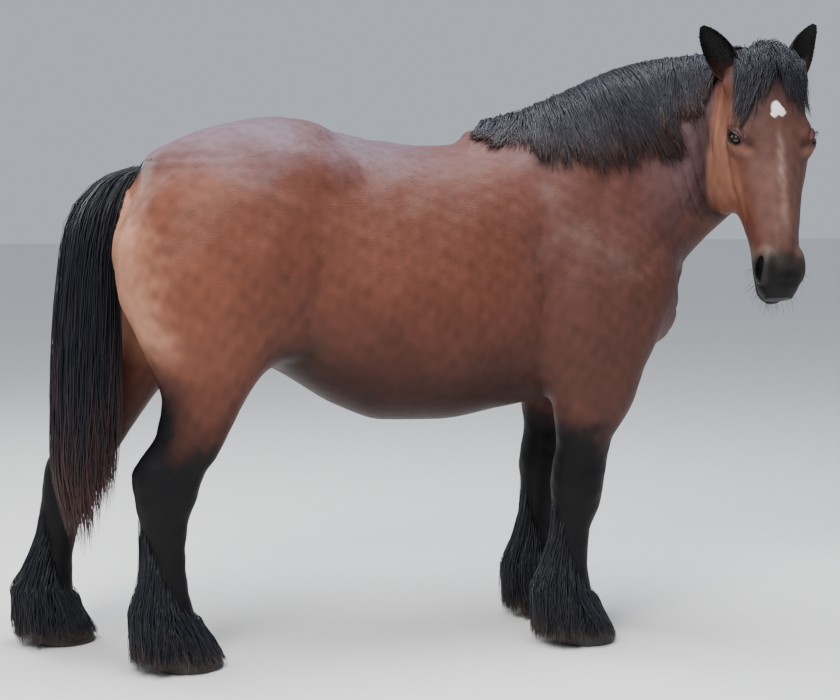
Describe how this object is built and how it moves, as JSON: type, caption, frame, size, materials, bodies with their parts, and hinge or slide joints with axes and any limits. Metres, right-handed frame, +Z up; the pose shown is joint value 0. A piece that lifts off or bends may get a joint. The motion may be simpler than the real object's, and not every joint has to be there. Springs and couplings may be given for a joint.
{
  "type": "heavy horse model",
  "caption": "Life-size still model of a bay draft mare standing with its head turned to its right, with mane, tail and feathered legs.",
  "frame": {"origin": "middle of the object's box, on the ground under the hooves", "axes": "+X the way the body faces, +Z up, the horse's left side is +Y; the head is turned to -Y"},
  "size_m": [2.385, 0.9004, 1.8898],
  "materials": {
    "coat": "short red-brown hair",
    "black_hair": "black hair, long on the mane, tail and lower legs",
    "horn": "dark hoof horn",
    "eye": "wet dark brown"
  },
  "bodies": {
    "root": {"head": "coat", "neck": "coat", "torso": "coat", "hindquarters": "coat", "foreleg_right_upper": "coat", "foreleg_left_upper": "coat", "hindleg_right_upper": "coat", "hindleg_left_upper": "coat", "foreleg_right_lower": "black_hair", "foreleg_left_lower": "black_hair", "hindleg_right_lower": "black_hair", "hindleg_left_lower": "black_hair", "tail": "black_hair", "ear_right": "black_hair", "ear_left": "black_hair", "eye_right": "eye", "eye_left": "eye", "hoof_fore_right": "horn", "hoof_fore_left": "horn", "hoof_hind_right": "horn", "hoof_hind_left": "horn"}
  },
  "joints": []
}
